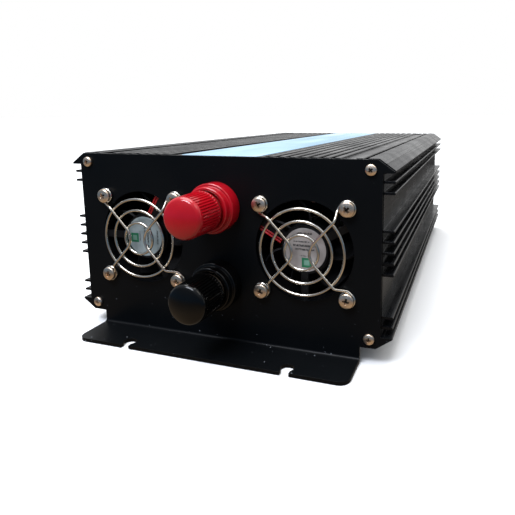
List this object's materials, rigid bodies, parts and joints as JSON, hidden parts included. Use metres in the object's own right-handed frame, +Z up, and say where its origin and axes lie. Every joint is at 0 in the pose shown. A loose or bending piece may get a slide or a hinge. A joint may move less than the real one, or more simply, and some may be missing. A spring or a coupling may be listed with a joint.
{
  "type": "power inverter",
  "caption": "DC to AC power inverter in a ribbed black aluminium case with twin guarded fans, red and black DC terminal knobs and slotted mounting feet.",
  "frame": {"origin": "centre of the four open mounting slots, on the underside of the feet", "axes": "+X across the case to the right seen from the DC end, +Y from the DC end to the AC end along the case, +Z up"},
  "size_m": [0.204, 0.4146, 0.112],
  "materials": {
    "black_anodised": "satin",
    "black_powder_coat": "satin",
    "label_film": "gloss",
    "nickel_steel": "polished",
    "zinc_steel": "satin",
    "black_moulding": "matte",
    "copper_wire": "satin",
    "silver_sticker": "satin",
    "wire_insulation": "satin",
    "red_plastic": "gloss",
    "black_plastic": "gloss",
    "brass": "satin",
    "tinned_copper": "satin",
    "red_insulation": "satin",
    "black_insulation": "satin",
    "circuit_board": "satin",
    "ferrite": "matte",
    "winding_tape": "satin",
    "capacitor_sleeve": "gloss",
    "epoxy": "matte",
    "silicone_pad": "matte",
    "mill_aluminium": "satin",
    "fuse_plastic": "gloss",
    "outlet_plastic": "satin",
    "rocker_plastic": "gloss",
    "lamp_lens": "gloss"
  },
  "bodies": {
    "housing": {"upper_housing": "black_anodised", "lower_housing": "black_anodised", "front_panel": "black_powder_coat", "rear_panel": "black_powder_coat", "top_label": "label_film", "front_corner_screws": "nickel_steel", "rear_corner_screws": "nickel_steel", "left_fan_guard": "nickel_steel", "right_fan_guard": "nickel_steel", "left_fan_screws": "nickel_steel", "right_fan_screws": "nickel_steel", "left_fan_nuts": "zinc_steel", "right_fan_nuts": "zinc_steel", "left_fan_frame": "black_moulding", "right_fan_frame": "black_moulding", "left_fan_stator": "copper_wire", "right_fan_stator": "copper_wire", "left_fan_label": "silver_sticker", "right_fan_label": "silver_sticker", "left_fan_leads": "wire_insulation", "right_fan_leads": "wire_insulation", "red_terminal_base": "red_plastic", "black_terminal_base": "black_plastic", "red_terminal_stud": "brass", "black_terminal_stud": "brass", "stud_insulators": "black_moulding", "cable_lugs": "tinned_copper", "stud_nuts": "brass", "red_dc_cable": "red_insulation", "black_dc_cable": "black_insulation", "main_board": "circuit_board", "board_standoffs": "brass", "board_screws": "zinc_steel", "board_terminals": "brass", "transformer_cores": "ferrite", "transformer_windings": "winding_tape", "input_capacitors": "capacitor_sleeve", "bus_capacitors": "capacitor_sleeve", "power_transistors": "epoxy", "thermal_pads": "silicone_pad", "transistor_clamps": "mill_aluminium", "clamp_screws": "zinc_steel", "blade_fuses": "fuse_plastic", "output_choke": "copper_wire", "control_board": "circuit_board", "left_outlet": "outlet_plastic", "right_outlet": "outlet_plastic", "switch_body": "black_moulding", "indicator_lamps": "lamp_lens", "ground_stud": "brass", "ac_wires": "wire_insulation"},
    "left_rotor": {"left_fan_rotor": "black_moulding"},
    "right_rotor": {"right_fan_rotor": "black_moulding"},
    "red_washer": {"red_clamp_washer": "nickel_steel"},
    "red_knob": {"red_knob": "red_plastic", "red_knob_insert": "brass"},
    "black_washer": {"black_clamp_washer": "nickel_steel"},
    "black_knob": {"black_knob": "black_plastic", "black_knob_insert": "brass"},
    "rocker": {"switch_rocker": "rocker_plastic"}
  },
  "joints": [
    {"name": "left_fan_spin", "type": "hinge", "parent": "housing", "child": "left_rotor", "pos_m": [-0.0525, -0.1605, 0.0605], "axis": [0, 1, 0], "continuous": true},
    {"name": "right_fan_spin", "type": "hinge", "parent": "housing", "child": "right_rotor", "pos_m": [0.0525, -0.1605, 0.0605], "axis": [0, 1, 0], "continuous": true},
    {"name": "red_washer_slide", "type": "slide", "parent": "housing", "child": "red_washer", "axis": [0, -1, 0], "range_m": [0, 0.005]},
    {"name": "red_knob_turn", "type": "hinge", "parent": "red_washer", "child": "red_knob", "pos_m": [0, -0.2, 0.0825], "axis": [0, -1, 0], "range_deg": [0, 1440]},
    {"name": "black_washer_slide", "type": "slide", "parent": "housing", "child": "black_washer", "axis": [0, -1, 0], "range_m": [0, 0.005]},
    {"name": "black_knob_turn", "type": "hinge", "parent": "black_washer", "child": "black_knob", "pos_m": [0, -0.2, 0.0365], "axis": [0, -1, 0], "range_deg": [0, 1440]},
    {"name": "switch_rock", "type": "hinge", "parent": "housing", "child": "rocker", "pos_m": [0, 0.171, 0.0765], "axis": [-1, 0, 0], "range_deg": [0, 20]}
  ],
  "couplings": [
    {"joint": "red_knob_turn", "follows": "red_washer_slide", "rad_per_m": 5026.5},
    {"joint": "black_knob_turn", "follows": "black_washer_slide", "rad_per_m": 5026.5}
  ]
}
